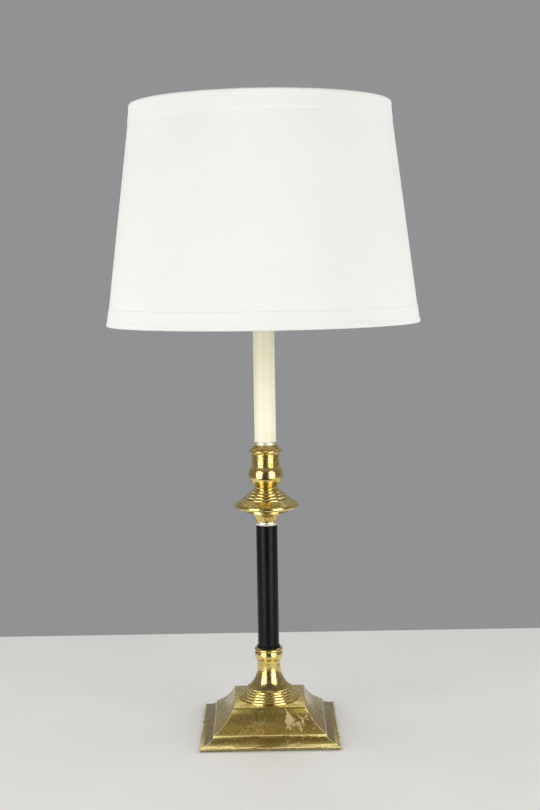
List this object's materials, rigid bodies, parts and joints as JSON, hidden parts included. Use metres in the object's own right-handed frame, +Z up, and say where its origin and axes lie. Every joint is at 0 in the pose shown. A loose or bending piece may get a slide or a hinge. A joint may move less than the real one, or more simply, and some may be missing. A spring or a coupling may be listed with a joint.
{
  "type": "candlestick lamp",
  "caption": "Table lamp shaped as a candlestick: square brass plinth, black column, drip pan, cream candle, and a tapered off-white drum shade on a harp over a bulb.",
  "frame": {"origin": "centre of the plinth's footprint, on the table", "axes": "+Z up along the stem, -Y the front, +X to the right; the plinth's sides lie along X and Y"},
  "size_m": [0.3794, 0.3794, 0.767],
  "materials": {
    "brass": "polished, lacquered, a little tarnished",
    "black_enamel": "gloss black enamel",
    "candle_cream": "smooth cream, satin",
    "shade_cloth": "off-white fabric laminated to a stiff liner",
    "trim_cloth": "off-white folded fabric band",
    "felt": "dark green felt",
    "board": "bare hardboard",
    "iron": "raw casting",
    "zinc_steel": "zinc plated",
    "shade_wire": "white enamelled wire",
    "socket_brass": "thin lacquered sheet",
    "phenolic": "moulded black phenolic",
    "fibre": "brown fibre board",
    "cap_metal": "rolled aluminium",
    "bulb_glass": "frosted glass",
    "clear_glass": "clear glass",
    "lead_wire": "drawn wire"
  },
  "bodies": {
    "stand": {"base_plinth": "brass", "felt_pad": "felt", "base_board": "board", "base_weight": "iron", "lock_washer": "zinc_steel", "base_nut": "zinc_steel", "cord_bushing": "phenolic", "lamp_pipe": "zinc_steel", "stem_foot": "brass", "foot_collar": "brass", "lower_tube_ring": "black_enamel", "column_tube": "black_enamel", "upper_tube_ring": "brass", "drip_pan": "brass", "candle_cup": "brass", "candle_ring": "brass", "candle_sleeve": "candle_cream", "candle_check_ring": "brass", "harp_saddle": "brass", "saddle_nut": "zinc_steel", "socket_cap": "socket_brass", "socket_shell": "socket_brass", "insulating_sleeve": "fibre", "switch_body": "phenolic", "screw_shell": "cap_metal", "centre_contact": "socket_brass", "terminal_screws": "zinc_steel", "socket_set_screw": "zinc_steel"},
    "switch": {"switch_shaft": "zinc_steel", "switch_knob": "phenolic"},
    "bulb_contact": {"bulb_tip": "cap_metal"},
    "bulb": {"bulb_insulator": "phenolic", "bulb_screw_cap": "cap_metal", "bulb_glass": "bulb_glass", "bulb_stem": "clear_glass", "bulb_leads": "lead_wire", "filament": "lead_wire"},
    "harp_frame": {"harp": "brass"},
    "left_sleeve": {"harp_sleeve_left": "brass"},
    "right_sleeve": {"harp_sleeve_right": "brass"},
    "swivel_stud": {"harp_stud": "brass"},
    "shade": {"shade_shell": "shade_cloth", "shade_top_trim": "trim_cloth", "shade_bottom_trim": "trim_cloth", "shade_top_ring": "shade_wire", "shade_bottom_ring": "shade_wire", "spider_hub": "shade_wire", "spider_arms": "shade_wire"},
    "finial_thread": {"finial_insert": "socket_brass"},
    "finial_knob": {"finial": "brass"}
  },
  "joints": [
    {"name": "switch_turn", "type": "hinge", "parent": "stand", "child": "switch", "pos_m": [0, -0.029, 0.5599], "axis": [0, -1, 0], "continuous": true},
    {"name": "bulb_rise", "type": "slide", "parent": "stand", "child": "bulb_contact", "axis": [0, 0, 1], "range_m": [0, 0.0122]},
    {"name": "bulb_turn", "type": "hinge", "parent": "bulb_contact", "child": "bulb", "pos_m": [0, 0, 0.6], "axis": [0, 0, 1], "range_deg": [0, 1200]},
    {"name": "harp_lift", "type": "slide", "parent": "stand", "child": "harp_frame", "axis": [0, 0, 1], "range_m": [0, 0.014]},
    {"name": "left_sleeve_slide", "type": "slide", "parent": "harp_frame", "child": "left_sleeve", "axis": [0, 0, 1], "range_m": [0, 0.012]},
    {"name": "right_sleeve_slide", "type": "slide", "parent": "harp_frame", "child": "right_sleeve", "axis": [0, 0, 1], "range_m": [0, 0.012]},
    {"name": "shade_swivel", "type": "hinge", "parent": "harp_frame", "child": "swivel_stud", "pos_m": [0, 0, 0.739], "axis": [0, 0, 1], "continuous": true},
    {"name": "shade_lift", "type": "slide", "parent": "swivel_stud", "child": "shade", "axis": [0, 0, 1], "range_m": [0, 0.26]},
    {"name": "finial_rise", "type": "slide", "parent": "shade", "child": "finial_thread", "axis": [0, 0, 1], "range_m": [0, 0.0105]},
    {"name": "finial_turn", "type": "hinge", "parent": "finial_thread", "child": "finial_knob", "pos_m": [0, 0, 0.745], "axis": [0, 0, 1], "range_deg": [0, 3960]}
  ],
  "couplings": [
    {"joint": "bulb_rise", "follows": "bulb_turn", "m_per_rad": 0.00057757},
    {"joint": "finial_rise", "follows": "finial_turn", "m_per_rad": 0.00014972}
  ]
}
